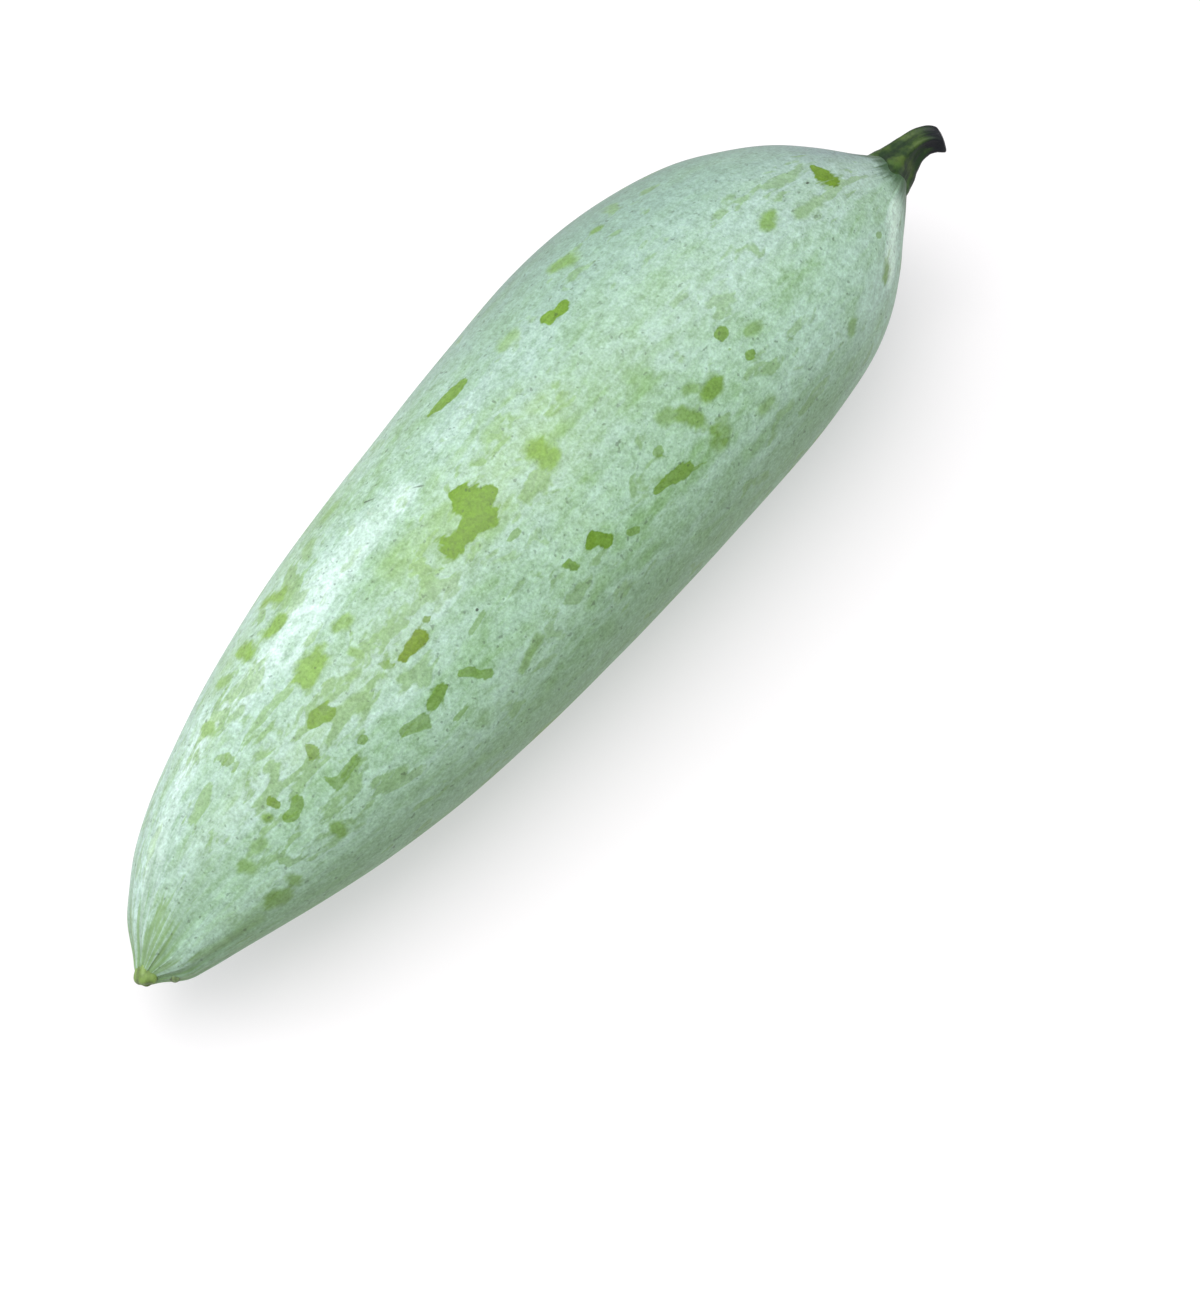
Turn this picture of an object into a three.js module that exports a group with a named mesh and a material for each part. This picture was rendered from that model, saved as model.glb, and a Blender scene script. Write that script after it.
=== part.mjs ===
// A short snake gourd as picked, lying on its side, with the stub of its stalk.
// Millimetres. +X runs from the blossom end to the stalk, +Y to the side that the fruit bows towards,
// +Z up.
// The origin is the centre of the bounding box's underside, and the belly rests on z = 0.

import * as THREE from "three";

// Fruit
const FRUIT_LENGTH = 220.5; // blossom tip to neck, along X
const FULLEST_RADIUS = 33.6;
const HEIGHT_SHARE = 0.97; // height over width of every section: it sags a little under its own weight
const AXIS_RISE = 0.04; // mm up per mm along: the fuller stem end lifts the axis
const BELLY_PRESS = 0.6; // how far the belly is pressed flat where it lies

// Stalk
const STALK_RADIUS = 2.6; // towards the cut
const GROWTH_GAP = 0.3; // between the neck's end and the stalk's base
const STALK_RIBS = 5;
const RIB_DEPTH = 0.05; // share of the radius

// Facets
const FRUIT_STEPS = 60;
const FRUIT_SIDES = 48;
const STALK_STEPS = 22;
const STALK_SIDES = 25;

const UP = new THREE.Vector3(0, 0, 1);

// Radius along the fruit: [share of the length from the blossom tip, share of the fullest radius].
const FRUIT_OUTLINE = [
  [0.0, 0.05],
  [0.013, 0.125],
  [0.03, 0.235],
  [0.074, 0.395],
  [0.117, 0.515],
  [0.205, 0.69],
  [0.34, 0.86],
  [0.5, 0.955],
  [0.65, 1.0],
  [0.74, 0.985],
  [0.82, 0.91],
  [0.87, 0.82],
  [0.915, 0.675],
  [0.95, 0.51],
  [0.98, 0.305],
  [1.0, 0.165],
];

// Where the fruit's axis runs: [share of the length, sideways in mm]. The tip and the neck turn back
// off the bow.
const FRUIT_BOW = [
  [0.0, 0.6],
  [0.03, 3.1],
  [0.074, 5.6],
  [0.117, 6.6],
  [0.21, 7.3],
  [0.34, 8.0],
  [0.5, 9.0],
  [0.7, 10.4],
  [0.82, 8.9],
  [0.9, 6.8],
  [0.95, 5.6],
  [1.0, 2.9],
];

// Radius along the stalk: [share of its length, share of the radius towards the cut]. It flares where
// it grew from the fruit.
const STALK_OUTLINE = [
  [0.0, 2.05],
  [0.14, 1.84],
  [0.3, 1.52],
  [0.5, 1.24],
  [0.7, 1.08],
  [0.94, 1.0],
  [1.0, 0.84],
];

// The stalk's axis past the neck's end: [along, sideways, up] in mm. It hooks away from the bow.
const STALK_ROUTE = [
  [0, 0, 0],
  [2.4, 0, 0],
  [6, 0.1, 0.5],
  [10.4, -0.7, 1.1],
  [13.6, -4, 1.2],
];

// A smooth curve through [share of the length, value] rows, read at any share.
function curveThrough(rows) {
  const shares = rows.map(([share]) => share);
  const values = rows.map(([, value]) => value);
  const curve = new THREE.CubicInterpolant(shares, values, 1);
  return (share) => curve.evaluate(share)[0];
}

// A closed body of revolution round +Y, one unit long. Its steps crowd towards both ends.
function turnedBody(outline, fullRadius, steps, sides) {
  const radiusAt = curveThrough(outline);
  const points = [new THREE.Vector2(0, 0)];
  for (let i = 0; i <= steps; i++) {
    const share = (1 - Math.cos((Math.PI * i) / steps)) / 2;
    points.push(new THREE.Vector2(radiusAt(share) * fullRadius, share));
  }
  points.push(new THREE.Vector2(0, 1));
  return new THREE.LatheGeometry(points, sides);
}

// Moves every vertex of a turned body: place(share of the length, sideways, upward) gives its new point.
function lay(geometry, place) {
  const position = geometry.getAttribute("position");
  for (let i = 0; i < position.count; i++) {
    const point = place(position.getY(i), position.getZ(i), position.getX(i));
    position.setXYZ(i, point.x, point.y, point.z);
  }
}

// Everything less than a depth above the geometry's underside is pressed level with it.
function pressFlat(geometry, depth) {
  geometry.computeBoundingBox();
  const level = geometry.boundingBox.min.z + depth;
  const position = geometry.getAttribute("position");
  for (let i = 0; i < position.count; i++) {
    position.setZ(i, Math.max(position.getZ(i), level));
  }
}

// The fruit's axis: it bows sideways and rises towards the neck.
function fruitAxis() {
  const sidewaysAt = curveThrough(FRUIT_BOW);
  return (share) => {
    const along = share * FRUIT_LENGTH;
    return new THREE.Vector3(along, sidewaysAt(share), along * AXIS_RISE);
  };
}

// Sections of the fruit stand square to X.
function makeFruit(axisAt) {
  const geometry = turnedBody(FRUIT_OUTLINE, FULLEST_RADIUS, FRUIT_STEPS, FRUIT_SIDES);
  lay(geometry, (share, sideways, upward) => {
    const point = axisAt(share);
    point.y += sideways;
    point.z += upward * HEIGHT_SHARE;
    return point;
  });
  pressFlat(geometry, BELLY_PRESS);
  const skin = new THREE.MeshStandardMaterial({ color: 0xb0d0b4, roughness: 0.45, metalness: 0 });
  const mesh = new THREE.Mesh(geometry, skin);
  mesh.name = "fruit";
  return mesh;
}

// Sections of the stalk stand square to its own axis, which starts a gap past the neck's end.
function makeStalk(neckEnd) {
  const start = neckEnd.clone();
  start.x += GROWTH_GAP;
  const route = STALK_ROUTE.map((step) => new THREE.Vector3(...step).add(start));
  const axis = new THREE.CatmullRomCurve3(route, false, "centripetal");
  const geometry = turnedBody(STALK_OUTLINE, STALK_RADIUS, STALK_STEPS, STALK_SIDES);
  lay(geometry, (share, sideways, upward) => {
    const ribbed = 1 + RIB_DEPTH * Math.cos(STALK_RIBS * Math.atan2(upward, sideways));
    const along = axis.getTangentAt(share);
    const side = new THREE.Vector3().crossVectors(UP, along).normalize();
    const over = new THREE.Vector3().crossVectors(along, side);
    const point = axis.getPointAt(share);
    return point.addScaledVector(side, sideways * ribbed).addScaledVector(over, upward * ribbed);
  });
  const bark = new THREE.MeshStandardMaterial({ color: 0x48603c, roughness: 0.6, metalness: 0 });
  const mesh = new THREE.Mesh(geometry, bark);
  mesh.name = "stalk";
  return mesh;
}

const axisAt = fruitAxis();
const fruit = makeFruit(axisAt);
const stalk = makeStalk(axisAt(1));
const gourd = new THREE.Group();
gourd.add(fruit, stalk);

// The origin goes to the centre of the underside.
const box = new THREE.Box3().setFromObject(gourd, true);
const centre = box.getCenter(new THREE.Vector3());
gourd.position.set(-centre.x, -centre.y, -box.min.z);

export default gourd;
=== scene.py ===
# %% [markdown]
# # A short snake gourd, lying on a pale table
#
# A snake gourd is one grown body: a pale green fruit with a waxy bloom, a blossom end that closes in
# furrows round a small knob, and a neck that narrows into a ribbed stalk, cut short when it was picked.
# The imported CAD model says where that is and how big. Here the same shapes are grown again with a much
# finer surface, and get their skin. Lengths are in metres, +X runs from the blossom end to the stalk, +Y
# is the side that the fruit bows towards, and the belly rests on z = 0.

# %% Load the frame
import math
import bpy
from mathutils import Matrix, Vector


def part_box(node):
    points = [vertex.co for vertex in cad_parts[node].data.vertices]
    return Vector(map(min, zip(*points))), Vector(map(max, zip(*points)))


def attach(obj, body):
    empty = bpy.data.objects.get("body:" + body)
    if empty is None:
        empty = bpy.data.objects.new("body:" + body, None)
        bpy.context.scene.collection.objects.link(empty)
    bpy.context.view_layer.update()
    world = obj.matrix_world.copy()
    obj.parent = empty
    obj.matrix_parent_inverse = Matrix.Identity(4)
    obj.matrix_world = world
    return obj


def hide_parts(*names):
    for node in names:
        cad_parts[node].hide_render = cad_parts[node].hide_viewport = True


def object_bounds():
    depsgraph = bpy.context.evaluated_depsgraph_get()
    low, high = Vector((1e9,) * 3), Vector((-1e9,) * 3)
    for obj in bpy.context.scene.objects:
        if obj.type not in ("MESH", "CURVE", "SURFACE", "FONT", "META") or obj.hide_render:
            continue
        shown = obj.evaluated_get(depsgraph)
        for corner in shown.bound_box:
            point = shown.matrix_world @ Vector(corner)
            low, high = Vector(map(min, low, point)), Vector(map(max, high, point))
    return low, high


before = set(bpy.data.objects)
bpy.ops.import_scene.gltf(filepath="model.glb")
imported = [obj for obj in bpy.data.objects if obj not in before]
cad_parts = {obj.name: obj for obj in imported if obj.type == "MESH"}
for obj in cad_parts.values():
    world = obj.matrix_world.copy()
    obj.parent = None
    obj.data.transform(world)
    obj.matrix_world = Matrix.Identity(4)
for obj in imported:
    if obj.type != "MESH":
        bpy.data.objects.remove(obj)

from types import SimpleNamespace

import bpy
import numpy as np
from mathutils import Vector

cad_low, cad_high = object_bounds()
MM = 0.001
print("CAD box in mm", [round(side / MM, 1) for side in cad_high - cad_low])

# %% [markdown]
# ## Wiring by arithmetic
#
# Geometry Nodes and materials are graphs of small nodes, and most of those only add, multiply or compare
# numbers. A small class that stands for one output socket, and that overloads Python's operators, lets a
# sum be written as a sum: each operator adds its Math node. Every other node comes from `Board.add`.

# %% Wires and boards
def pick(sockets, key):
    """A socket by its number, its identifier or its name."""
    if isinstance(key, int):
        return sockets[key]
    by_identifier = [socket for socket in sockets if socket.identifier == key]
    by_name = [socket for socket in sockets if socket.name == key and socket.enabled]
    return (by_identifier or by_name)[0]


class Wire:
    """One output socket. Arithmetic on wires adds Math nodes to their board."""

    def __init__(self, board, socket):
        self.board = board
        self.socket = socket

    def out(self, key):
        return Wire(self.board, pick(self.socket.node.outputs, key))

    def __add__(self, other):
        return self.board.math("ADD", self, other)

    def __sub__(self, other):
        return self.board.math("SUBTRACT", self, other)

    def __rsub__(self, other):
        return self.board.math("SUBTRACT", other, self)

    def __mul__(self, other):
        return self.board.math("MULTIPLY", self, other)

    def __truediv__(self, other):
        return self.board.math("DIVIDE", self, other)

    def __pow__(self, other):
        return self.board.math("POWER", self, other)

    def __abs__(self):
        return self.board.math("ABSOLUTE", self)

    __radd__ = __add__
    __rmul__ = __mul__


class Board:
    """A node tree that is being wired up."""

    def __init__(self, tree):
        self.tree = tree

    def add(self, kind, settings=None, sockets=None):
        """A node of this kind. Its settings are made first, then its sockets get values or wires."""
        node = self.tree.nodes.new(kind)
        for name, value in (settings or {}).items():
            if name == "captures":
                for capture, of_type in value.items():
                    node.capture_items.new(of_type, capture)
            else:
                setattr(node, name, value)
        for key, value in (sockets or {}).items():
            socket = pick(node.inputs, key)
            if isinstance(value, Wire):
                self.tree.links.new(value.socket, socket)
            else:
                socket.default_value = value
        shown = [socket for socket in node.outputs if socket.enabled]
        return Wire(self, shown[0]) if shown else None

    def math(self, operation, *values):
        return self.add("ShaderNodeMath", {"operation": operation}, dict(enumerate(values)))

    def vector(self, operation, *values):
        return self.add("ShaderNodeVectorMath", {"operation": operation}, dict(enumerate(values)))

    def combine(self, x=0.0, y=0.0, z=0.0):
        return self.add("ShaderNodeCombineXYZ", {}, {"X": x, "Y": y, "Z": z})

    def rise(self, value, low, high):
        """0 below low, 1 above high and smooth between. With low above high it falls instead."""
        sockets = {"Value": value, "From Min": low, "From Max": high}
        return self.add("ShaderNodeMapRange", {"interpolation_type": "SMOOTHSTEP"}, sockets)

    def noise(self, at, scale, detail=2.0, roughness=0.5, distortion=0.0):
        sockets = {"Vector": at, "Scale": scale, "Detail": detail, "Roughness": roughness}
        return self.add("ShaderNodeTexNoise", {}, {**sockets, "Distortion": distortion})

    def bump(self, strength, distance, height):
        sockets = {"Strength": strength, "Distance": distance, "Height": height}
        return self.add("ShaderNodeBump", {}, sockets)

    def stretch(self, at, x, y, z):
        """A vector times a number on each axis, which stretches or squeezes the pattern that reads it."""
        return self.vector("MULTIPLY", at, (x, y, z))


# %% [markdown]
# ## Inputs with names
#
# A tree that makes a shape keeps its sizes open: the trees below take a length, a radius or a furrow's
# depth from named inputs. A modifier keeps an input's value under the socket's identifier, and not its
# name, so a helper looks it up. Keeping only the mesh that comes out leaves nothing live behind.

# %% Trees with named inputs
SOCKET_KINDS = {float: "NodeSocketFloat", int: "NodeSocketInt", tuple: "NodeSocketVector"}


def new_shape_tree(name, defaults):
    """The board of a new geometry tree, and a function that gives its inputs by name."""
    tree = bpy.data.node_groups.new(name, "GeometryNodeTree")
    tree.interface.new_socket("Guide", in_out="INPUT", socket_type="NodeSocketGeometry")
    tree.interface.new_socket("Shape", in_out="OUTPUT", socket_type="NodeSocketGeometry")
    for title, value in defaults.items():
        kind = SOCKET_KINDS[type(value)]
        socket = tree.interface.new_socket(title, in_out="INPUT", socket_type=kind)
        socket.default_value = value
    tree.interface.new_socket("Finish", in_out="INPUT", socket_type="NodeSocketMaterial")
    board = Board(tree)
    return board, board.add("NodeGroupInput").out


def close_shape_tree(board, shape, finish):
    """Real geometry with a material leaves the tree."""
    shape = board.add("GeometryNodeSetShadeSmooth", {}, {"Geometry": shape})
    shape = board.add("GeometryNodeRealizeInstances", {}, {"Geometry": shape})
    shape = board.add("GeometryNodeSetMaterial", {}, {"Geometry": shape, "Material": finish})
    board.add("NodeGroupOutput", {}, {"Shape": shape})
    return board.tree


def guide_line(name, points, radii):
    """A mesh of one open line, whose radius attribute a curve takes as its own."""
    mesh = bpy.data.meshes.new(name)
    mesh.from_pydata(points, [(i, i + 1) for i in range(len(points) - 1)], [])
    radius = mesh.attributes.new("radius", "FLOAT", "POINT")
    radius.data.foreach_set("value", np.array(radii, np.float32))
    return mesh


def grow(name, tree, guide, finish, values):
    """Runs a tree on a guide, and keeps the result as an object with a plain mesh at the origin."""
    grower = bpy.data.objects.new(name + "_guide", guide)
    bpy.context.collection.objects.link(grower)
    modifier = grower.modifiers.new("grow", "NODES")
    modifier.node_group = tree
    values = {**values, "Finish": finish}
    for item in tree.interface.items_tree:
        if item.in_out == "INPUT" and item.name in values:
            modifier[item.identifier] = values[item.name]
    graph = bpy.context.evaluated_depsgraph_get()
    grown = grower.evaluated_get(graph)
    mesh = bpy.data.meshes.new_from_object(grown, preserve_all_data_layers=True, depsgraph=graph)
    mesh.name = name
    bpy.data.objects.remove(grower)
    piece = bpy.data.objects.new(name, mesh)
    bpy.context.collection.objects.link(piece)
    mesh.calc_loop_triangles()
    print(name, "has", len(mesh.loop_triangles), "triangles")
    return piece


# %% [markdown]
# ## Steps that the trees share
#
# The fruit, the stalk and the knob are each a ring that is carried along a smooth line and then pushed
# out or in here and there. Each of those steps gets a short function. A value that is known on the line
# or on the ring is captured there, because the mesh that is made from them no longer knows it.

# %% Lines, rings, pushes and stored values
def smooth_line(board, take):
    """The guide as a Catmull-Rom curve with the given number of rows between two of its points."""
    line = board.add("GeometryNodeMeshToCurve", {}, {"Mesh": take("Guide")})
    line = board.add("GeometryNodeCurveSplineType", {"spline_type": "CATMULL_ROM"}, {"Curve": line})
    sockets = {"Geometry": line, "Resolution": take("Rows in a Span")}
    return board.add("GeometryNodeSetSplineResolution", {}, sockets)


def capture(board, geometry, fields):
    """Keeps fields, each given as its kind and its value, for what is made from this geometry."""
    kinds = {name: kind for name, (kind, value) in fields.items()}
    values = {name: value for name, (kind, value) in fields.items()}
    return board.add("GeometryNodeCaptureAttribute", {"captures": kinds}, {"Geometry": geometry, **values})


def ring_of_sides(board, take):
    """A ring with the given number of sides that keeps each point's turn, in radians."""
    ring = board.add("GeometryNodeCurvePrimitiveCircle", {}, {"Resolution": take("Sides"), "Radius": 1.0})
    turn = board.add("GeometryNodeInputIndex") / take("Sides") * math.tau
    return capture(board, ring, {"Turn": ("FLOAT", turn)})


def push(board, shape, direction, distance):
    """Moves each point along its own direction."""
    sockets = {"Vector": direction, "Scale": distance}
    offset = board.add("ShaderNodeVectorMath", {"operation": "SCALE"}, sockets)
    return board.add("GeometryNodeSetPosition", {}, {"Geometry": shape, "Offset": offset})


def store(board, shape, fields):
    """Writes fields, each given as its kind and its value, on the points for a material to read."""
    for name, (kind, value) in fields.items():
        shape = board.add(
            "GeometryNodeStoreNamedAttribute",
            {"data_type": kind, "domain": "POINT"},
            {"Geometry": shape, "Name": name, "Value": value},
        )
    return shape


# %% [markdown]
# ## The fruit's sizes
#
# A gourd's shape is two rules: how its radius changes along it, and where its middle line runs. One short
# table gives both at a few places, closest together near the ends, where the outline turns fastest. The
# length comes from the frame, and the tip is placed so that the fruit's box is the CAD fruit's.

# %% Sections of the fruit
fruit_low, fruit_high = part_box("fruit")
FRUIT_LENGTH = fruit_high.x - fruit_low.x
FULLEST_RADIUS = 33.6 * MM
HEIGHT_SHARE = 0.97  # height over width of a section
AXIS_RISE = 0.04  # metres up for each metre along

# share of the length from the blossom tip, share of the fullest radius, sideways in mm
FRUIT_SECTIONS = [
    (0.0, 0.02, 1.6),
    (0.004, 0.06, 1.9),
    (0.013, 0.115, 2.4),
    (0.03, 0.235, 3.3),
    (0.05, 0.315, 4.4),
    (0.08, 0.415, 5.8),
    (0.12, 0.52, 6.6),
    (0.17, 0.625, 7.0),
    (0.23, 0.73, 7.4),
    (0.31, 0.832, 7.8),
    (0.4, 0.905, 8.4),
    (0.5, 0.955, 9.0),
    (0.6, 0.988, 9.8),
    (0.68, 1.0, 10.3),
    (0.75, 0.98, 10.0),
    (0.81, 0.925, 9.1),
    (0.86, 0.842, 8.0),
    (0.9, 0.72, 6.95),
    (0.935, 0.572, 6.3),
    (0.962, 0.418, 5.3),
    (0.984, 0.27, 3.7),
    (1.0, 0.165, 2.9),
]

shares, widths, bows = np.array(FRUIT_SECTIONS).T
section_radii = widths * FULLEST_RADIUS
widest_side = (bows * MM + section_radii).max()
highest_back = (shares * FRUIT_LENGTH * AXIS_RISE + section_radii * HEIGHT_SHARE).max()
TIP = Vector((fruit_low.x, fruit_high.y - widest_side, fruit_high.z - highest_back))
NECK = TIP + Vector((FRUIT_LENGTH, bows[-1] * MM, FRUIT_LENGTH * AXIS_RISE))
print("fruit length in mm", round(FRUIT_LENGTH / MM, 1), "tip", TIP, "neck", NECK)

# %% [markdown]
# ## The camera
#
# The camera stands high over the table, and the fruit runs from the lower left of the picture to the
# upper right. A long lens from a good arm's length keeps the near and the far end at one scale.

# %% Camera
CAMERA_DISTANCE = 0.9
CAMERA_HEIGHT_ANGLE = math.radians(70.0)
PICTURE_RIGHT_ANGLE = math.radians(-48.4)  # where the picture's right side points on the table, from +X
PICTURE_TALL = 0.2551  # metres of the table from the picture's bottom to its top
AIM_PAST_MIDDLE = Vector((-0.011, -0.0309, -0.0025))  # the fruit lies up and to the left in the picture


def place_camera():
    right = Vector((math.cos(PICTURE_RIGHT_ANGLE), math.sin(PICTURE_RIGHT_ANGLE), 0))
    ahead = Vector((-right.y, right.x, 0))
    back = Vector((0, 0, math.sin(CAMERA_HEIGHT_ANGLE))) - ahead * math.cos(CAMERA_HEIGHT_ANGLE)
    aim = (cad_low + cad_high) / 2 + AIM_PAST_MIDDLE
    data = bpy.data.cameras.new("camera")
    data.lens = data.sensor_width * CAMERA_DISTANCE / PICTURE_TALL
    camera = bpy.data.objects.new("camera", data)
    camera.location = aim + back * CAMERA_DISTANCE
    camera.rotation_euler = (-back).to_track_quat("-Z", "Y").to_euler()
    bpy.context.collection.objects.link(camera)
    bpy.context.scene.camera = camera
    return right, ahead


picture_right, picture_ahead = place_camera()
print("lens in mm", round(bpy.context.scene.camera.data.lens, 1))

# %% [markdown]
# ## Table and light
#
# Food is often lit by a very large soft box over the table and one window at the side. The soft box gives
# nearly all of the light, and a short, pale, soft shadow. The window is weaker and lower: it draws the
# shine along the side of the fruit. The room's own colour fills what neither of them reaches. The table
# is one plain pale sheet with no edge in sight from above. It glows, as a light table does, so that its
# white stays clean and the shadow stays pale.

# %% Table and light
TABLE_SIDE = 6.0
TABLE_COLOUR = (0.4, 0.383, 0.395)
TABLE_GLOW = 0.5
ROOM_COLOUR = (0.93, 0.97, 1.0)
ROOM_STRENGTH = 0.29

# side in m, distance in m, degrees above the table, degrees round from the picture's right, watts, colour
LIGHTS = {
    "soft box": (1.3, 1.5, 81.0, 146.0, 31.5, (1.0, 1.0, 0.985)),
    "window": (0.5, 0.9, 38.0, 168.0, 3.0, (0.97, 1.0, 1.0)),
}


def lay_table():
    half = TABLE_SIDE / 2
    corners = [(-half, -half, 0), (half, -half, 0), (half, half, 0), (-half, half, 0)]
    mesh = bpy.data.meshes.new("table")
    mesh.from_pydata(corners, [], [(0, 1, 2, 3)])
    table = bpy.data.objects.new("table", mesh)
    bpy.context.collection.objects.link(table)
    material = bpy.data.materials.new("pale table")
    material.use_nodes = True
    paint = material.node_tree.nodes["Principled BSDF"]
    paint.inputs["Base Color"].default_value = (*TABLE_COLOUR, 1.0)
    paint.inputs["Roughness"].default_value = 0.8
    paint.inputs["Specular IOR Level"].default_value = 0.0
    paint.inputs["Emission Color"].default_value = (1.0, 1.0, 1.0, 1.0)
    paint.inputs["Emission Strength"].default_value = TABLE_GLOW
    mesh.materials.append(material)


def light_room():
    world = bpy.data.worlds.new("pale room")
    world.use_nodes = True
    room = world.node_tree.nodes["Background"]
    room.inputs["Color"].default_value = (*ROOM_COLOUR, 1.0)
    room.inputs["Strength"].default_value = ROOM_STRENGTH
    bpy.context.scene.world = world


def hang_light(name, side, distance, height_angle, turn, power, colour):
    height_angle, turn = math.radians(height_angle), math.radians(turn)
    level = picture_right * math.cos(turn) + picture_ahead * math.sin(turn)
    towards = level * math.cos(height_angle) + Vector((0, 0, math.sin(height_angle)))
    data = bpy.data.lights.new(name, "AREA")
    data.shape = "SQUARE"
    data.size = side
    data.energy = power
    data.color = colour
    light = bpy.data.objects.new(name, data)
    light.location = (cad_low + cad_high) / 2 + towards * distance
    light.rotation_euler = (-towards).to_track_quat("-Z", "Y").to_euler()
    bpy.context.collection.objects.link(light)


lay_table()
light_room()
for name, (side, distance, height_angle, turn, power, colour) in LIGHTS.items():
    hang_light(name, side, distance, height_angle, turn, power, colour)
bpy.context.scene.view_settings.view_transform = "Standard"
print("lights in watts", {name: light[4] for name, light in LIGHTS.items()})

# %% [markdown]
# ## Growing the fruit
#
# The fruit could be sculpted, or lathed and bent. Here it is grown by a rule: a guide line carries the
# radius of each section, a Catmull-Rom spline makes both smooth, and a ring stands square to the length
# at every step. Then comes what makes it grown and not turned: broad lumps, furrows that gather at the
# blossom end, ribs that run out of the neck, and a belly that flattens where the fruit lies.
#
# The tree also stores where each point is on the skin, as if the skin were peeled off and rolled into a
# straight tube. Patterns that read this follow the fruit round its bow and close up towards the ends.

# %% Middle line, swell and belly
def fruit_line(board, take):
    """The guide's x is a share of the length and its y is the bow: both become places in the frame."""
    line = smooth_line(board, take)
    share = board.add("ShaderNodeSeparateXYZ", {}, {"Vector": board.add("GeometryNodeInputPosition")})
    along = share * take("Length")
    place = board.combine(along, share.out("Y"), along * take("Axis Rise"))
    radius = board.add("GeometryNodeInputRadius") * take("Fullest Radius")
    fields = {
        "Middle": ("VECTOR", board.vector("ADD", place, take("Tip"))),
        "Along": ("FLOAT", along),
        "Radius": ("FLOAT", radius),
    }
    return capture(board, line, fields)


def fruit_swell(board, take, tube, along, turn):
    """How far each point stands out, and how deep in a furrow it is, from 0 to 1.

    A furrow runs where a noise that is drawn out along the skin crosses its middle value.
    """
    seeded = board.vector("ADD", tube, board.combine(take("Seed"), 0.0, 0.0))
    lumps = (board.noise(seeded, 28.0, 1.0) - 0.5) * take("Lump Height")
    gather = board.rise(along, take("Furrow Reach"), take("Furrow Reach") * 0.12)
    streaks = board.noise(board.stretch(seeded, 14.0, 92.0, 92.0), 1.0, 1.5, 0.45)
    folds = (streaks - 0.5) * take("Furrow Depth") * 3.0 * gather
    furrow = board.rise(abs(streaks - 0.5), 0.11, 0.0) * gather
    ribs = board.math("COSINE", turn * take("Neck Ribs") + 0.6)
    near_neck = board.rise(take("Length") - along, take("Neck Reach"), 0.0)
    neck = ribs * near_neck * near_neck * take("Neck Rib Height")
    return lumps + folds + neck - furrow * take("Furrow Depth"), furrow


def flatten_belly(board, body):
    """The belly rests on the table. The soft limit rounds the edge of its flat."""
    now = board.add("ShaderNodeSeparateXYZ", {}, {"Vector": board.add("GeometryNodeInputPosition")})
    lifted = board.math("SMOOTH_MAX", now.out("Z"), 0.0, 0.5 * MM)
    place = board.combine(now, now.out("Y"), lifted)
    return board.add("GeometryNodeSetPosition", {}, {"Geometry": body, "Position": place})


# %% [markdown]
# ## The fruit's tree
#
# Curve to Mesh joins the rings and closes both ends. Its own rings lean with the line, so each point is
# then put where the section says: level and upright, square to the length. Lumps, furrows and ribs move
# it along its normal, and the belly comes last, because nothing may push it through the table again.

# %% Tree that grows the fruit
def fruit_tree():
    board, take = new_shape_tree(
        "grow the fruit",
        {
            "Length": FRUIT_LENGTH,
            "Fullest Radius": FULLEST_RADIUS,
            "Height Share": HEIGHT_SHARE,
            "Axis Rise": AXIS_RISE,
            "Tip": tuple(TIP),
            "Rows in a Span": 16,
            "Sides": 280,
            "Lump Height": 0.0,
            "Furrow Depth": 0.0,
            "Furrow Reach": 0.03,
            "Neck Ribs": 5,
            "Neck Rib Height": 0.0,
            "Neck Reach": 0.02,
            "Seed": 0.0,
        },
    )
    line = fruit_line(board, take)
    ring = ring_of_sides(board, take)
    sockets = {"Curve": line, "Profile Curve": ring, "Fill Caps": True}
    body = board.add("GeometryNodeCurveToMesh", {}, sockets)

    turn = ring.out("Turn")
    along = line.out("Along")
    radius = line.out("Radius")
    level = board.math("COSINE", turn)
    upright = board.math("SINE", turn)
    reach = board.combine(0.0, level * radius, upright * radius * take("Height Share"))
    place = board.vector("ADD", line.out("Middle"), reach)
    body = board.add("GeometryNodeSetPosition", {}, {"Geometry": body, "Position": place})

    tube = board.combine(along, level * take("Fullest Radius"), upright * take("Fullest Radius"))
    swell, furrow = fruit_swell(board, take, tube, along, turn)
    body = push(board, body, board.add("GeometryNodeInputNormal"), swell)
    body = flatten_belly(board, body)
    fields = {"skin": ("FLOAT_VECTOR", tube), "furrow": ("FLOAT", furrow), "girth": ("FLOAT", radius)}
    return close_shape_tree(board, store(board, body, fields), take("Finish"))


# %% [markdown]
# ## One gourd from the tree
#
# The guide is drawn from the table of sections, and the lumps and furrows get their real heights, all of
# them under a millimetre, because a ripe rind is nearly smooth.

# %% Grow the fruit
rind = bpy.data.materials.new("waxy rind")
guide = guide_line("fruit_line", [(share, bow * MM, 0) for share, _, bow in FRUIT_SECTIONS], widths)
fruit = grow(
    "fruit_body",
    fruit_tree(),
    guide,
    rind,
    {
        "Lump Height": 0.8 * MM,
        "Furrow Depth": 0.26 * MM,
        "Furrow Reach": 34 * MM,
        "Neck Rib Height": 0.3 * MM,
        "Neck Reach": 22 * MM,
        "Seed": 0.37,
    },
)
fruit_points = np.array([vertex.co for vertex in fruit.data.vertices])
print("fruit box in mm", np.round((fruit_points.max(0) - fruit_points.min(0)) / MM, 1))

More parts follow.
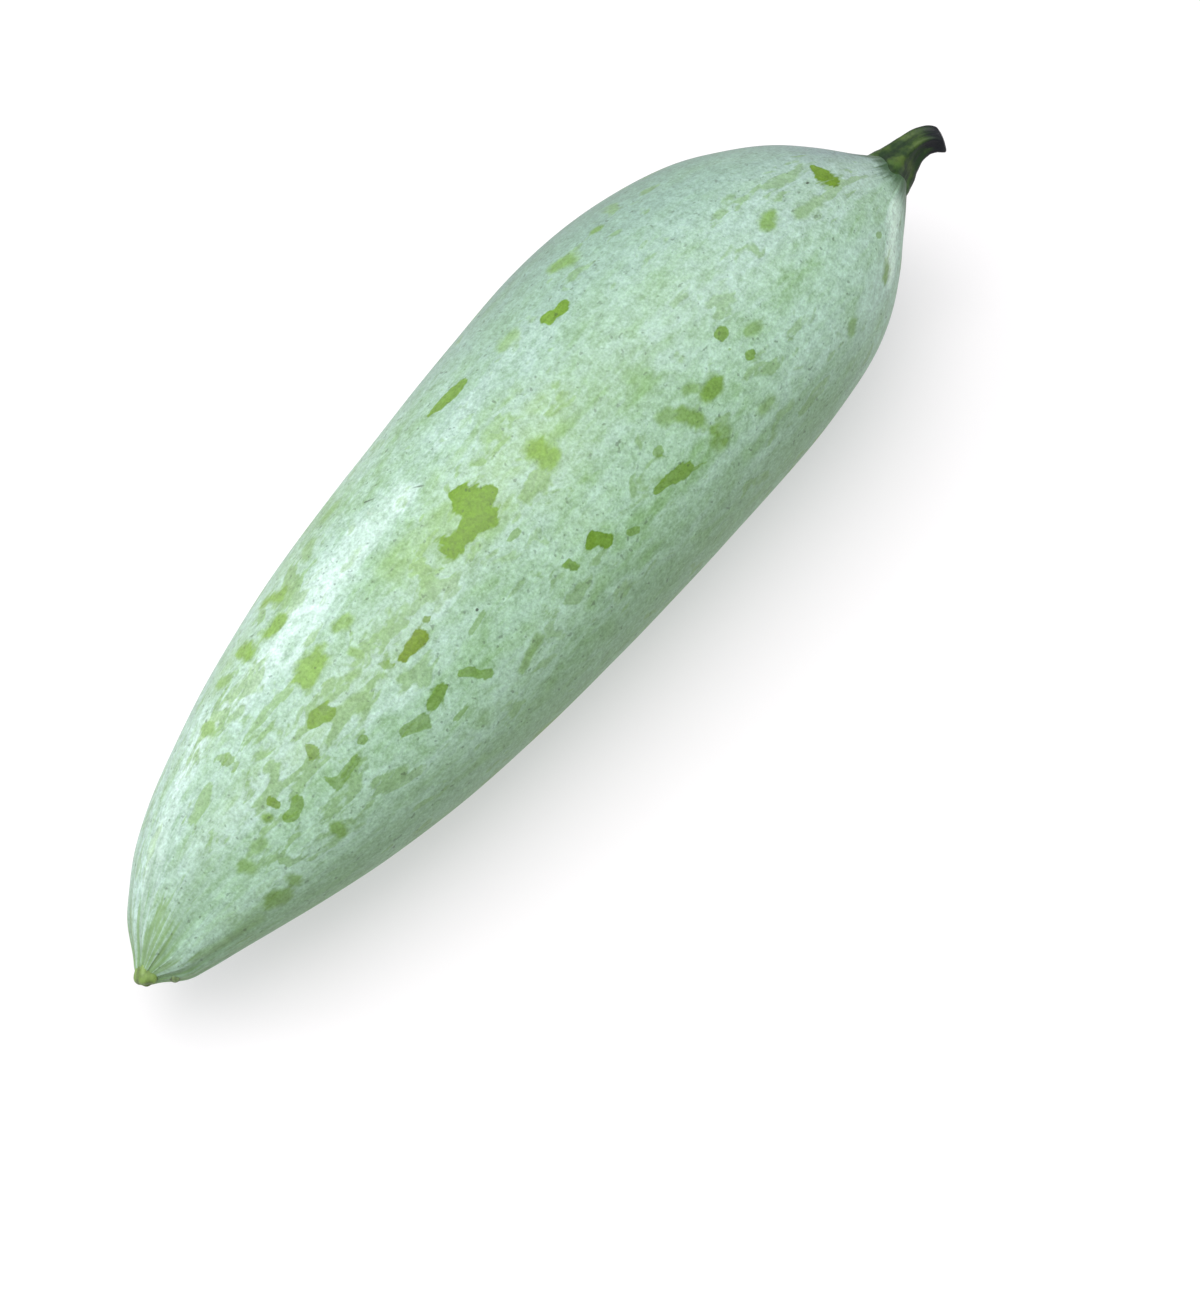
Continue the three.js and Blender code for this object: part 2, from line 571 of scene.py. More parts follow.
# %% [markdown]
# ## Where the bloom is rubbed off
#
# The whitish bloom on a gourd is a film of wax, and the green below shows wherever the film is thin. A
# leaf that lay against the fruit leaves a crisp patch, and a touch leaves a soft one. Noise alone gives
# an even freckling, so the patches that catch the eye are dabbed on one by one: each dab is a stroke from
# one place on the skin to another. Each point stores how deep in its nearest dab it is, 0.5 at the edge. The
# material adds noise to that depth and cuts it, sharply for a crisp patch and gently for a soft one,
# which gives an edge far finer than the mesh.

# %% Dabs
# Each end of a stroke is (mm along, degrees round, half width in mm), then come strength and oliveness.
CRISP_DABS = [
    ((105, 82, 1.9), (106, 90, 3.8), 1, 0.2),
    ((106, 90, 3.8), (104.5, 94, 2.8), 1, 0.2),
    ((109.5, 91, 1), (105, 91, 2.5), 1, 0.2),
    ((102, 93, 2.2), (98.5, 93, 2.1), 1, 0.2),
    ((97, 93.5, 2.2), (95.3, 92.5, 2.8), 1, 0.2),
    ((115, 48.5, 1.1), (124, 52.5, 1.5), 0.9, 0.3),
    ((143.5, 64, 1.5), (146.5, 65.5, 1.6), 0.95, 0.3),
    ((116.3, 127.5, 1.7), (118.8, 131.5, 1.6), 0.95, 0.1),
    ((123, 136, 0.8), (124.3, 138, 0.8), 0.7, 0),
    ((109.7, 127, 1.1), (110.5, 129.5, 1.3), 0.8, 0.1),
    ((104, 106, 0.5), (107, 106, 0.7), 0.6, 0),
    ((137, 123.5, 1), (138, 123.5, 1.1), 0.65, 0.2),
    ((132, 133, 0.7), (137, 134.5, 1.3), 0.85, 0.1),
    ((137, 134.5, 1.5), (140, 136.5, 1.8), 0.85, 0.1),
    ((140.5, 138, 0.6), (144, 140, 0.5), 0.5, 0),
    ((74.5, 105.5, 1.2), (80, 105.5, 1.8), 1, 1),
    ((82.3, 102.8, 0.8), (83, 102.8, 0.8), 0.8, 0.6),
    ((80.7, 126, 0.8), (84.2, 134, 1.2), 0.75, 0),
    ((87.2, 118, 0.6), (91.5, 116.5, 0.6), 0.5, 0),
    ((73, 125.5, 1.7), (75.5, 124, 1.4), 0.85, 0.1),
    ((74, 138, 0.8), (77.5, 137, 0.8), 0.6, 0),
    ((65, 125.5, 0.9), (68.5, 128.5, 1.8), 0.65, 0.1),
    ((58.2, 116, 0.8), (58.8, 116.5, 0.8), 0.7, 0.2),
    ((55, 96, 1.5), (57.5, 97, 1.6), 0.9, 0.3),
    ((50.3, 99.5, 0.6), (50.6, 104, 1.4), 0.8, 0.6),
    ((38.8, 105, 0.8), (39, 108, 1), 0.85, 0.6),
    ((39.2, 117.5, 1.2), (42, 115.5, 1.3), 0.75, 0.1),
    ((48.7, 116, 0.8), (49.5, 121, 1.1), 0.65, 0.1),
    ((50.5, 121, 0.9), (55, 119.5, 0.9), 0.6, 0.1),
    ((204.7, 80.5, 0.7), (204.7, 87.5, 2.5), 1, 0.5),
    ((162.5, 112.5, 1.2), (163.2, 112.5, 1.2), 0.85, 0.2),
    ((163.8, 124.5, 1.1), (164.4, 124.5, 1.1), 0.85, 0.2),
    ((161.8, 118, 0.4), (162, 118, 0.4), 0.6, 0.2),
    ((203.8, 134.5, 0.6), (204.4, 135.5, 0.7), 0.6, 0.2),
    ((71, 100.5, 0.6), (71.6, 104, 0.8), 0.6, 0.3),
    ((39, 69, 1), (39.6, 76, 1.6), 0.6, 0.5),
    ((72, -38, 1.5), (77, -44, 1.1), 0.9, 0.4),
    ((151, -20, 0.9), (158, -25, 1.3), 0.8, 0.3),
    ((101, 205, 1.6), (108, 212, 1), 0.9, 0.5),
    ((170, 188, 1.3), (173, 193, 1), 0.8, 0.2),
]
SOFT_DABS = [
    ((121, 92, 2.4), (121, 96.5, 2.2), 1, 0.2),
    ((149, 134, 1), (149, 139, 1.3), 0.9, 0),
    ((152, 124, 1.6), (154.5, 123, 1.8), 1, 0.1),
    ((146, 122, 1.4), (147.5, 126, 1.6), 0.9, 0.1),
    ((150, 117, 1.2), (151, 118, 1.2), 0.7, 0),
    ((142.5, 117, 1.3), (144, 118, 1.3), 0.7, 0),
    ((167, 118, 1.1), (168.5, 119.5, 1.3), 0.7, 0),
    ((148, 138, 1.7), (150, 137, 1.7), 0.7, 0),
    ((90, 143.5, 0.9), (96, 138.5, 1.1), 0.7, 0),
    ((60, 81, 2.2), (64.5, 80.5, 2.2), 1, 0.5),
    ((66.3, 79, 0.9), (67, 79, 0.9), 0.8, 0.5),
    ((71, 78, 1.2), (72.5, 79, 1.4), 0.8, 0.5),
    ((68.5, 33, 1.6), (70.5, 42, 1.9), 1, 0.6),
    ((63, 51.5, 1.7), (66, 52, 1.5), 1, 0.6),
    ((58, 41, 1.8), (58, 49, 1.9), 1, 0.6),
    ((42, 46, 1.2), (42, 53, 1.4), 0.9, 0.6),
    ((50.5, 39, 1.2), (51.5, 43, 1.4), 0.8, 0.5),
    ((79, 42, 1.5), (82, 37, 1.5), 0.6, 0.2),
    ((88, 33, 1.5), (91, 35, 1.5), 0.6, 0),
    ((62, 106.5, 1.2), (63.5, 106.5, 1.2), 0.7, 0.2),
    ((69, 89, 0.9), (69.6, 93, 0.9), 0.8, 0.2),
    ((65, 95, 1.1), (66.5, 96, 1.1), 0.7, 0.2),
    ((27, 118, 1.3), (27.5, 121, 1.5), 0.8, 0.1),
    ((44, 137, 1.2), (44.5, 141, 1.4), 0.9, 0),
    ((32, 144, 1.2), (32.5, 148, 1.3), 0.8, 0),
    ((27.5, 150, 1.8), (28.5, 154, 1.8), 0.8, 0),
    ((31, 115, 1.2), (32, 116, 1.2), 0.7, 0.1),
    ((36, 108, 0.9), (36.5, 110, 0.9), 0.9, 0.3),
    ((186.5, 94, 1.6), (188, 93, 1.7), 0.9, 0.2),
    ((193, 98, 1.4), (198, 99, 1.6), 0.6, 0.2),
    ((199, 153, 1.1), (201.5, 151, 1.3), 0.9, 0),
    ((185, 151, 1), (186.5, 148, 1.2), 0.7, 0),
    ((159.5, 142, 1.5), (161.5, 143, 1.7), 0.7, 0),
    ((153.5, 47, 1.5), (156, 51, 1.7), 0.8, 0.2),
    ((165, 48, 0.9), (166, 49, 0.9), 0.8, 0),
    ((134, 56, 1.4), (137, 56, 1.5), 0.6, 0.7),
    ((117, 76, 1.6), (119, 76, 1.6), 0.5, 0.3),
    ((86, 80, 2.6), (101, 84, 3), 0.35, 0.4),
    ((9, 150, 0.7), (16, 158, 1.1), 0.45, 0.1),
    ((18, 158, 1), (23, 160, 1.2), 0.35, 0),
    ((88, 190, 2), (96, 197, 2.4), 0.7, 0.1),
    ((130, -35, 2.2), (140, -42, 2.6), 0.7, 0.4),
    ((48, -62, 1.6), (55, -70, 2), 0.8, 0.3),
]
print(len(CRISP_DABS), "crisp dabs and", len(SOFT_DABS), "soft ones")

# %% [markdown]
# ## Thick and worn parts
#
# Broader strokes of the same kind say where the film is thick and whitest, and where a part of the skin
# is rubbed all over. The streaks that run along one side, from the tip to past the middle, are a painted
# highlight band as well as thick bloom. The material blurs them with noise, so that they have no edge.

# %% Thick streaks and worn parts
THICK_BLOOM_AND_HIGHLIGHT_STREAKS = [
    # The first six streaks run along one side at 45 to 64 degrees round: a painted highlight band over thick
    # bloom.
    ((42, 53, 3), (60, 61, 4.8), 0.65, 0),
    ((60, 61, 5.4), (80, 63, 5.8), 0.85, 0),
    ((80, 63, 5.8), (101, 63, 4.2), 0.8, 0),
    ((101, 63, 3.8), (140, 64, 3.2), 0.45, 0),
    ((5, 60, 1.2), (22, 57, 3.6), 0.75, 0),
    ((22, 57, 3.6), (42, 45, 4), 0.7, 0),
    ((84, 107, 2), (90, 103, 2.4), 0.5, 0),
    ((61, 111, 1.8), (70, 117, 2.2), 0.4, 0),
    ((118, 101, 2.6), (134, 104, 3.4), 0.35, 0),
    ((202, 156, 2.4), (213, 140, 2.8), 1, 0),
    ((95, 150, 2), (120, 148, 2.4), 0.3, 0),
    ((60, 215, 3), (95, 205, 4), 0.5, 0),
    ((140, -15, 3), (180, -10, 4), 0.5, 0),
]
WORN_PARTS = [
    ((30, 82, 9), (70, 95, 13), 1, 0.3),
    ((30, 120, 8), (62, 124, 10), 0.8, 0.1),
    ((40, 50, 7), (75, 38, 8), 1, 0.5),
    ((90, 85, 9), (125, 92, 11), 1, 0.8),
    ((105, 130, 8), (165, 125, 10), 0.6, 0),
    ((180, 92, 7), (205, 95, 8), 0.4, 0.2),
    ((40, 250, 12), (90, 240, 14), 0.8, 0.4),
    ((130, 300, 12), (180, 290, 12), 0.7, 0.2),
]
print(len(THICK_BLOOM_AND_HIGHLIGHT_STREAKS), "thick streaks and", len(WORN_PARTS), "worn parts")

# %% [markdown]
# ## From strokes to numbers on the points
#
# A stroke is measured against every point of the skin at once. The distance across it is an angle times
# the girth there, so a dab keeps its real width where the fruit narrows. Where strokes overlap, the
# deepest one lends the place its strength and its oliveness.

# %% Dab the skin
def skin_places(mesh):
    """Along in mm, round in radians and girth radius in mm of every point."""
    skin = np.zeros(len(mesh.vertices) * 3, np.float32)
    girth = np.zeros(len(mesh.vertices), np.float32)
    mesh.attributes["skin"].data.foreach_get("vector", skin)
    mesh.attributes["girth"].data.foreach_get("value", girth)
    along, level, upright = skin.reshape(-1, 3).T / MM
    return along, np.arctan2(upright, level), girth / MM


def stroke_field(places, start, end):
    """1 on a stroke's middle line, 0.5 at its half width and less outside. It tapers from end to end."""
    along, angle, girth = places
    (along_1, round_1, half_width_1), (along_2, round_2, half_width_2) = start, end
    across = ((angle - math.radians(round_1) + math.pi) % math.tau - math.pi) * girth
    run = np.array([np.full_like(girth, along_2 - along_1), math.radians(round_2 - round_1) * girth])
    gone = np.array([along - along_1, across])
    part = np.clip((run * gone).sum(0) / np.maximum((run * run).sum(0), 1e-6), 0, 1)
    distance = np.hypot(*(gone - run * part))
    return 1 - distance / (2 * (half_width_1 + (half_width_2 - half_width_1) * part))


def dab(mesh, name, strokes):
    """Stores how deep each point is in its nearest stroke, how strong that stroke is, and how olive."""
    places = skin_places(mesh)
    depth, strength, olive = np.zeros((3, len(mesh.vertices)))
    for start, end, stroke_strength, stroke_olive in strokes:
        field = np.maximum(stroke_field(places, start, end), 0)
        here = field > depth
        depth[here] = field[here]
        strength[here] = stroke_strength
        olive[here] = stroke_olive
    values = np.stack([depth, strength, olive], axis=1).astype(np.float32)
    attribute = mesh.attributes.new(name, "FLOAT_VECTOR", "POINT")
    attribute.data.foreach_set("vector", values.ravel())
    print(name, "covers", round((depth > 0.5).mean() * 100, 2), "% of the points")


STROKES = {"crisp": CRISP_DABS, "soft": SOFT_DABS, "thick": THICK_BLOOM_AND_HIGHLIGHT_STREAKS, "worn": WORN_PARTS}
for name, strokes in STROKES.items():
    dab(fruit.data, name, strokes)

# %% [markdown]
# ## The waxy rind
#
# Three layers make this skin, and its colour is mixed in their order. At the bottom is green flesh,
# yellower in some parts. On it lies the bloom, a bluish white film of uneven thickness that breaks into a
# fine grain. Then come the places where the film is gone. The film is matt and the bare green is
# glossier, so the same masks also drive the roughness.

# %% Colours of the rind
GREEN_FLESH = (0.17, 0.305, 0.11, 1.0)
YELLOW_FLESH = (0.215, 0.355, 0.06, 1.0)
BLOOM = (0.377, 0.508, 0.47, 1.0)
# whitest bloom, which is also the colour of the painted highlight band
WHITE_BLOOM_AND_HIGHLIGHT = (0.60, 0.73, 0.68, 1.0)
# Painted shade colours: the shaded side, the saddle by the neck, the far edge and the other rim.
SHADED_BLOOM = (0.17, 0.27, 0.215, 1.0)
SADDLE_SHADE_BLUE = (0.15, 0.19, 0.22, 1.0)
FAR_SIDE_SHADE_BLUE = (0.11, 0.17, 0.15, 1.0)
RIM_SHADE_GREEN = (0.16, 0.29, 0.13, 1.0)
FRESH_RUB = (0.115, 0.235, 0.012, 1.0)
OLIVE_RUB = (0.12, 0.2, 0.008, 1.0)
FURROW_GREEN = (0.12, 0.21, 0.09, 1.0)
NECK_GREEN = (0.03, 0.078, 0.022, 1.0)
TIP_GREEN = (0.17, 0.28, 0.09, 1.0)
SPECK_BROWN = (0.04, 0.05, 0.035, 1.0)
BRUISE_BROWN = (0.34, 0.27, 0.18, 1.0)


def principled(material):
    material.use_nodes = True
    return Board(material.node_tree), material.node_tree.nodes["Principled BSDF"]


def plug(board, node, sockets):
    for name, value in sockets.items():
        if isinstance(value, Wire):
            board.tree.links.new(value.socket, node.inputs[name])
        else:
            node.inputs[name].default_value = value


def mix(board, factor, below, above):
    """The colour below where the factor is 0, and the colour above where it is 1."""
    sockets = {"Factor_Float": factor, "A_Color": below, "B_Color": above}
    return board.add("ShaderNodeMix", {"data_type": "RGBA"}, sockets).out("Result_Color")


def attribute(board, name):
    return board.add("ShaderNodeAttribute", {"attribute_name": name})


def stroke_parts(board, name):
    """Depth, strength and oliveness, as dab stored them."""
    stored = board.add("ShaderNodeSeparateXYZ", {}, {"Vector": attribute(board, name).out("Vector")})
    return stored.out("X"), stored.out("Y"), stored.out("Z")


# %% [markdown]
# ## Patterns that the skin shares
#
# The bloom is uneven at every size, from zones a few centimetres across to single cells. Each size gets a
# noise of its own, less 0.5 so that it swings round 0. The broader ones read the skin and are drawn out
# along the fruit, because it grew that way. The two finest read Object coordinates.

# %% Patterns
# swings per metre along and round the skin, then the noise's detail, roughness and distortion; the fine
# patterns have one number of swings and no distortion
SKIN_PATTERNS = {
    "zones": (16.0, 42.0, 2.0, 0.5, 0.4),
    "streaks": (50.0, 190.0, 4.0, 0.6, 0.5),
    "patches": (70.0, 110.0, 3.0, 0.55, 0.5),
    "clouds": (130.0, 210.0, 3.0, 0.5, 0.8),
    "flecks": (240.0, 380.0, 2.0, 0.5, 0.6),
}
FINE_PATTERNS = {"mottle": (560.0, 3.0, 0.65), "grain": (1700.0, 2.0, 0.6)}


def read_skin(board):
    """Places on the skin, its patterns and how worn it is, by name. Sideways goes from -1 to 1."""
    skin = attribute(board, "skin").out("Vector")
    place = board.add("ShaderNodeTexCoord").out("Object")
    along = board.add("ShaderNodeSeparateXYZ", {}, {"Vector": skin})
    on = SimpleNamespace(skin=skin, place=place, along=along, sideways=along.out("Y") / FULLEST_RADIUS)
    for name, (lengthwise, crosswise, *look) in SKIN_PATTERNS.items():
        stretched = board.stretch(skin, lengthwise, crosswise, crosswise)
        setattr(on, name, board.noise(stretched, 1.0, *look) - 0.5)
    for name, look in FINE_PATTERNS.items():
        setattr(on, name, board.noise(place, *look) - 0.5)
    worn_depth, worn_strength, worn_olive = stroke_parts(board, "worn")
    on.worn = board.rise(worn_depth, 0.25, 0.8) * worn_strength
    on.yellowed = on.worn * worn_olive * 0.3
    return on


# %% [markdown]
# ## Flesh and bloom
#
# How thick the film is comes from every pattern together and from the thick streaks, and it is a little
# thicker towards both ends. A thin film lets the flesh through, and a thick one goes on to nearly white.
# Along the band of thick streaks down one side, that near white is also a painted highlight.

# %% Flesh and bloom
def flesh_and_bloom(board, on):
    thick_depth, thick_strength, _ = stroke_parts(board, "thick")
    thick = board.rise(thick_depth + on.streaks * 0.9 + on.clouds * 0.5, 0.1, 0.95) * thick_strength
    flesh = mix(board, board.rise(on.zones + on.yellowed, -0.05, 0.35), GREEN_FLESH, YELLOW_FLESH)
    film = 0.51 + on.zones * 0.6 + on.patches * 0.6 + on.streaks * 0.9 + on.clouds * 0.6 + on.flecks * 0.25
    film = film + board.rise(on.along, 130 * MM, 200 * MM) * 0.17
    film = film + board.rise(on.along, 110 * MM, 50 * MM) * 0.06 + thick * 0.22
    cover = board.rise(film + on.mottle * 0.3 + on.grain * 0.15, -0.1, 0.95)
    colour = mix(board, cover, flesh, BLOOM)
    # near white where the bloom is thickest, and a painted highlight along the band of thick streaks
    whiteness_and_highlight = board.rise(film + thick * 0.6 + on.mottle * 0.2 + on.grain * 0.15, 0.7, 1.95)
    return mix(board, whiteness_and_highlight, colour, WHITE_BLOOM_AND_HIGHLIGHT)


# %% [markdown]
# ## Painted shade and light from side to side
#
# Shade and light are painted into the bloom's colour round the fruit. Over the stem's half a painted
# shade, tinted blue, darkens the side that the fruit bows towards, deepest at its edge and on a saddle
# beside the neck. The other side gets a painted light, paler and greener, and a painted shade of darker
# green along its edge short of the stem end.

# %% Painted shade and light on the sides
def paint_side_shade_and_light(board, on, colour):
    # painted shade, tinted blue, over the stem's half on the side the fruit bows towards
    stem_half = board.rise(on.along + on.zones * 0.1, 85 * MM, 180 * MM)
    shaded = board.rise(on.sideways + on.streaks * 0.5, -0.35, 1.0) * stem_half
    colour = mix(board, shaded * 0.9, colour, SHADED_BLOOM)
    # painted light: the other side lighter and greener
    side_light_lift = board.rise(on.sideways, -0.1, -0.7)
    colour = board.vector("MULTIPLY", colour, board.combine(1 + side_light_lift * 0.06, 1 + side_light_lift * 0.13, 1 + side_light_lift * 0.02))
    # deeper painted shade, tinted blue, at the edge of the bowed side
    far_side_shade = board.rise(on.sideways, 0.62, 1.0) * stem_half
    colour = mix(board, far_side_shade * 0.6, colour, FAR_SIDE_SHADE_BLUE)
    # painted shade of darker green along the edge of the other side
    rim = board.rise(on.sideways + on.streaks * 0.3, -0.72, -1.0) * board.rise(on.along, 200 * MM, 170 * MM)
    colour = mix(board, rim * 0.6, colour, RIM_SHADE_GREEN)
    # painted shade, tinted blue, on the saddle beside the neck
    saddle_shade = board.rise(on.along, FRUIT_LENGTH - 24 * MM, FRUIT_LENGTH - 6 * MM)
    saddle_shade = saddle_shade * board.rise(on.sideways, -0.2, 0.5)
    return mix(board, saddle_shade * 0.56, colour, SADDLE_SHADE_BLUE)


# %% [markdown]
# ## Rubs
#
# Soft rubs are clouds, denser where the skin is worn, and the soft dabs with ragged edges. Crisp rubs are
# the crisp dabs, cut sharply: the low and high limits of the rise lie close together. Both show a fresh
# green, which turns yellow or olive with age.

# %% Soft and crisp rubs
def soft_rubs(board, on):
    """The mask of the soft rubs and their colour."""
    depth, strength, olive = stroke_parts(board, "soft")
    ragged = on.clouds * 1.6 + on.flecks * 0.7
    dabbed = board.rise(depth + ragged, 0.13, 0.75) * strength
    blotch = on.clouds * 0.9 + on.patches * 0.8 + on.streaks * 0.3 + on.flecks * 0.35 + on.zones * 0.2
    cloudy = board.rise(blotch + on.worn * 0.09, 0.1, 0.24) * (on.worn * 0.2 + 0.5)
    rubbed = mix(board, olive * 0.5 + on.yellowed + 0.1, FRESH_RUB, YELLOW_FLESH)
    return board.math("MAXIMUM", cloudy, dabbed), rubbed


def crisp_rubs(board, on):
    """The mask of the crisp rubs and their colour."""
    depth, strength, olive = stroke_parts(board, "crisp")
    cut = board.rise(depth + on.clouds * 1.1 + on.flecks * 0.7, 0.44, 0.6)
    rubbed = mix(board, olive, FRESH_RUB, OLIVE_RUB)
    paler = board.rise(depth + on.clouds + on.flecks, 0.55, 1.1) * 0.1
    return cut * strength, mix(board, paler, rubbed, YELLOW_FLESH)


# %% [markdown]
# ## Furrows, tip and neck
#
# The furrows are darker green and the tip is greener. The neck darkens into the stalk's green, a little
# earlier on the side away from the bow.

# %% Both ends
def colour_ends(board, on, colour):
    colour = mix(board, attribute(board, "furrow").out("Fac") * 0.5, colour, FURROW_GREEN)
    tip = board.rise(on.along + on.streaks * 0.06, 10 * MM, 1 * MM)
    colour = mix(board, tip * 0.6, colour, TIP_GREEN)
    under = board.rise(on.sideways, 0.1, -0.7)
    neck_start = FRUIT_LENGTH - 4.2 * MM - under * (3 * MM)
    into_neck = on.along - neck_start + on.streaks * 0.009 + on.clouds * 0.006
    to_neck = board.rise(into_neck / (FRUIT_LENGTH - neck_start), -0.1, 0.9)
    return mix(board, to_neck * 0.9, colour, NECK_GREEN)


# %% [markdown]
# ## Small marks
#
# A mark in one place needs no image: the distance from a place or a line on the skin, cut at a radius,
# is a mask. This fruit has two specks, a ring scar, a scratch with a bruise, and fine pores.

# %% Small marks
# mm along, degrees round, then radius or half width in mm
SPECKS = [(200.2, 88, 0.45), (90.8, 114, 0.4)]
RING_SCAR = [(201.6, 125, 0.95), (201.6, 125, 0.75)]
SCRATCH = [(93.8, 51), (102.3, 69), 0.3]
BRUISE = (92.7, 57, 1.1)


def on_tube(along, degrees):
    """A place on the skin, rolled into a straight tube, from mm along and degrees round."""
    angle = math.radians(degrees)
    return Vector((along * MM, math.cos(angle) * FULLEST_RADIUS, math.sin(angle) * FULLEST_RADIUS))


def spot(board, skin, along, degrees, radius):
    """1 within a radius of one place on the skin, all in mm, and 0 outside it."""
    distance = board.vector("DISTANCE", skin, tuple(on_tube(along, degrees))).out("Value")
    return board.rise(distance, radius * MM, radius * 0.6 * MM)


def line_mark(board, skin, start, end, half_width):
    """1 along a straight line between two places on the skin, and 0 further away than its half width."""
    start, end = on_tube(*start), on_tube(*end)
    run = end - start
    gone = board.vector("SUBTRACT", skin, tuple(start))
    part = board.vector("DOT_PRODUCT", gone, tuple(run / run.length_squared)).out("Value")
    part = board.math("MINIMUM", board.math("MAXIMUM", part, 0.0), 1.0)
    nearest = board.vector("MULTIPLY", board.combine(part, part, part), tuple(run))
    distance = board.vector("DISTANCE", gone, nearest).out("Value")
    return board.rise(distance, half_width * MM, half_width * 0.4 * MM)


def small_marks(board, on, colour):
    pores = board.rise(board.noise(on.place, 820.0, 1.0), 0.68, 0.76)
    colour = mix(board, pores * 0.4, colour, SPECK_BROWN)
    outer, inner = (spot(board, on.skin, *edge) for edge in RING_SCAR)
    marks = (outer - inner) * board.rise(on.grain, -0.05, 0.1)
    for speck in SPECKS:
        marks = board.math("MAXIMUM", marks, spot(board, on.skin, *speck))
    colour = mix(board, marks * 0.85, colour, SPECK_BROWN)
    scratch = line_mark(board, on.skin, *SCRATCH) * board.rise(on.clouds, -0.2, 0.0)
    colour = mix(board, scratch * 0.7, colour, SPECK_BROWN)
    bruise = spot(board, on.skin, *BRUISE) * board.rise(on.mottle, -0.1, 0.15)
    return mix(board, bruise * 0.35, colour, BRUISE_BROWN)


# %% [markdown]
# ## The rind put together
#
# The layers are mixed in turn, and every cell of the skin reflects a little more or less. Some light goes
# under the skin and comes out again close by, so the shader gets a little subsurface.

# %% Finish the rind
def finish_rind(material):
    board, shader = principled(material)
    on = read_skin(board)
    colour = paint_side_shade_and_light(board, on, flesh_and_bloom(board, on))
    soft, soft_colour = soft_rubs(board, on)
    colour = mix(board, soft * 0.88, colour, soft_colour)
    crisp, crisp_colour = crisp_rubs(board, on)
    colour = mix(board, crisp * 0.97, colour, crisp_colour)
    sparkle = 1 + on.grain * 0.75 + on.mottle * 0.7
    colour = board.vector("MULTIPLY", colour, board.combine(sparkle, sparkle, sparkle))
    colour = small_marks(board, on, colour_ends(board, on, colour))
    height = on.mottle * 0.5 + on.grain * 0.5 + on.streaks * 0.6
    sockets = {
        "Base Color": colour,
        "Roughness": 0.5 - soft * 0.06 - crisp * 0.12 + on.mottle * 0.25,
        "Normal": board.bump(0.35, 0.3 * MM, height),
        "Specular IOR Level": 0.22,
        "Subsurface Weight": 0.12,
        "Subsurface Radius": (0.7, 1.0, 0.5),
        "Subsurface Scale": 2.5 * MM,
    }
    plug(board, shader, sockets)


finish_rind(rind)
print("rind has", len(rind.node_tree.nodes), "nodes")

# %% [markdown]
# ## The stalk
#
# The stalk is a ribbed tube that follows a path, widest where it grew from the fruit, hooked, and cut
# off with a knife. A curve with a bevel would give a round tube. A tree can also raise the ribs, roughen
# them and lean the cut, and the same tree makes the blunt knob at the blossom end.

# %% Tree that draws a ribbed stem along a path
def stem_line(board, take):
    """The guide's line, which keeps how far along each place is: as a part of it, and in metres."""
    line = board.add("GeometryNodeSetCurveNormal", {}, {"Curve": smooth_line(board, take)})
    spline = board.add("GeometryNodeSplineParameter")
    fields = {
        "Part": ("FLOAT", spline.out("Factor")),
        "Run": ("FLOAT", spline.out("Length")),
        "Radius": ("FLOAT", board.add("GeometryNodeInputRadius")),
        "Heading": ("VECTOR", board.add("GeometryNodeInputTangent")),
    }
    return capture(board, line, fields)


def stem_tree():
    board, take = new_shape_tree(
        "draw a ribbed stem",
        {
            "Rows in a Span": 18,
            "Sides": 120,
            "Ribs": 5,
            "Rib Height": 0.0,
            "Cut Lean": 0.0,
            "Roughness Height": 0.0,
            "Seed": 0.0,
        },
    )
    line = stem_line(board, take)
    ring = ring_of_sides(board, take)
    radius = line.out("Radius")
    sockets = {"Curve": line, "Profile Curve": ring, "Scale": radius, "Fill Caps": True}
    stem = board.add("GeometryNodeCurveToMesh", {}, sockets)

    turn = ring.out("Turn")
    part = line.out("Part")
    across = board.math("COSINE", turn)
    upward = board.math("SINE", turn)
    fade = board.rise(part, 1.0, 0.86)
    ribs = board.math("COSINE", turn * take("Ribs")) * 0.5 + 0.5
    raised = (ribs ** 1.6 - 0.4) * take("Rib Height") * fade
    seeded = board.combine(line.out("Run") * 160.0, across, upward)
    seeded = board.vector("ADD", seeded, board.combine(take("Seed"), 0.0, 0.0))
    rough = (board.noise(seeded, 1.6, 3.0) - 0.5) * take("Roughness Height") * fade
    stem = push(board, stem, board.add("GeometryNodeInputNormal"), raised + rough)

    # One side of the cut end is pushed ahead and the other back.
    lean = board.rise(part, 0.55, 0.88) * board.math("COSINE", turn - 0.27) * radius * take("Cut Lean")
    stem = push(board, stem, line.out("Heading"), lean)
    around = board.combine(across, upward, 0.0)
    fields = {"part": ("FLOAT", part), "rib": ("FLOAT", ribs), "around": ("FLOAT_VECTOR", around)}
    return close_shape_tree(board, store(board, stem, fields), take("Finish"))


ribbed_stem = stem_tree()
print("the stem's tree has", len(ribbed_stem.nodes), "nodes")

# %% [markdown]
# ## The stalk's path
#
# The stub leaves the neck straight and hooks away from the bow. The first steps of its path lie inside
# the neck, so that there is no gap, and the last ones close in on the middle within about half a
# millimetre, which makes the cut.

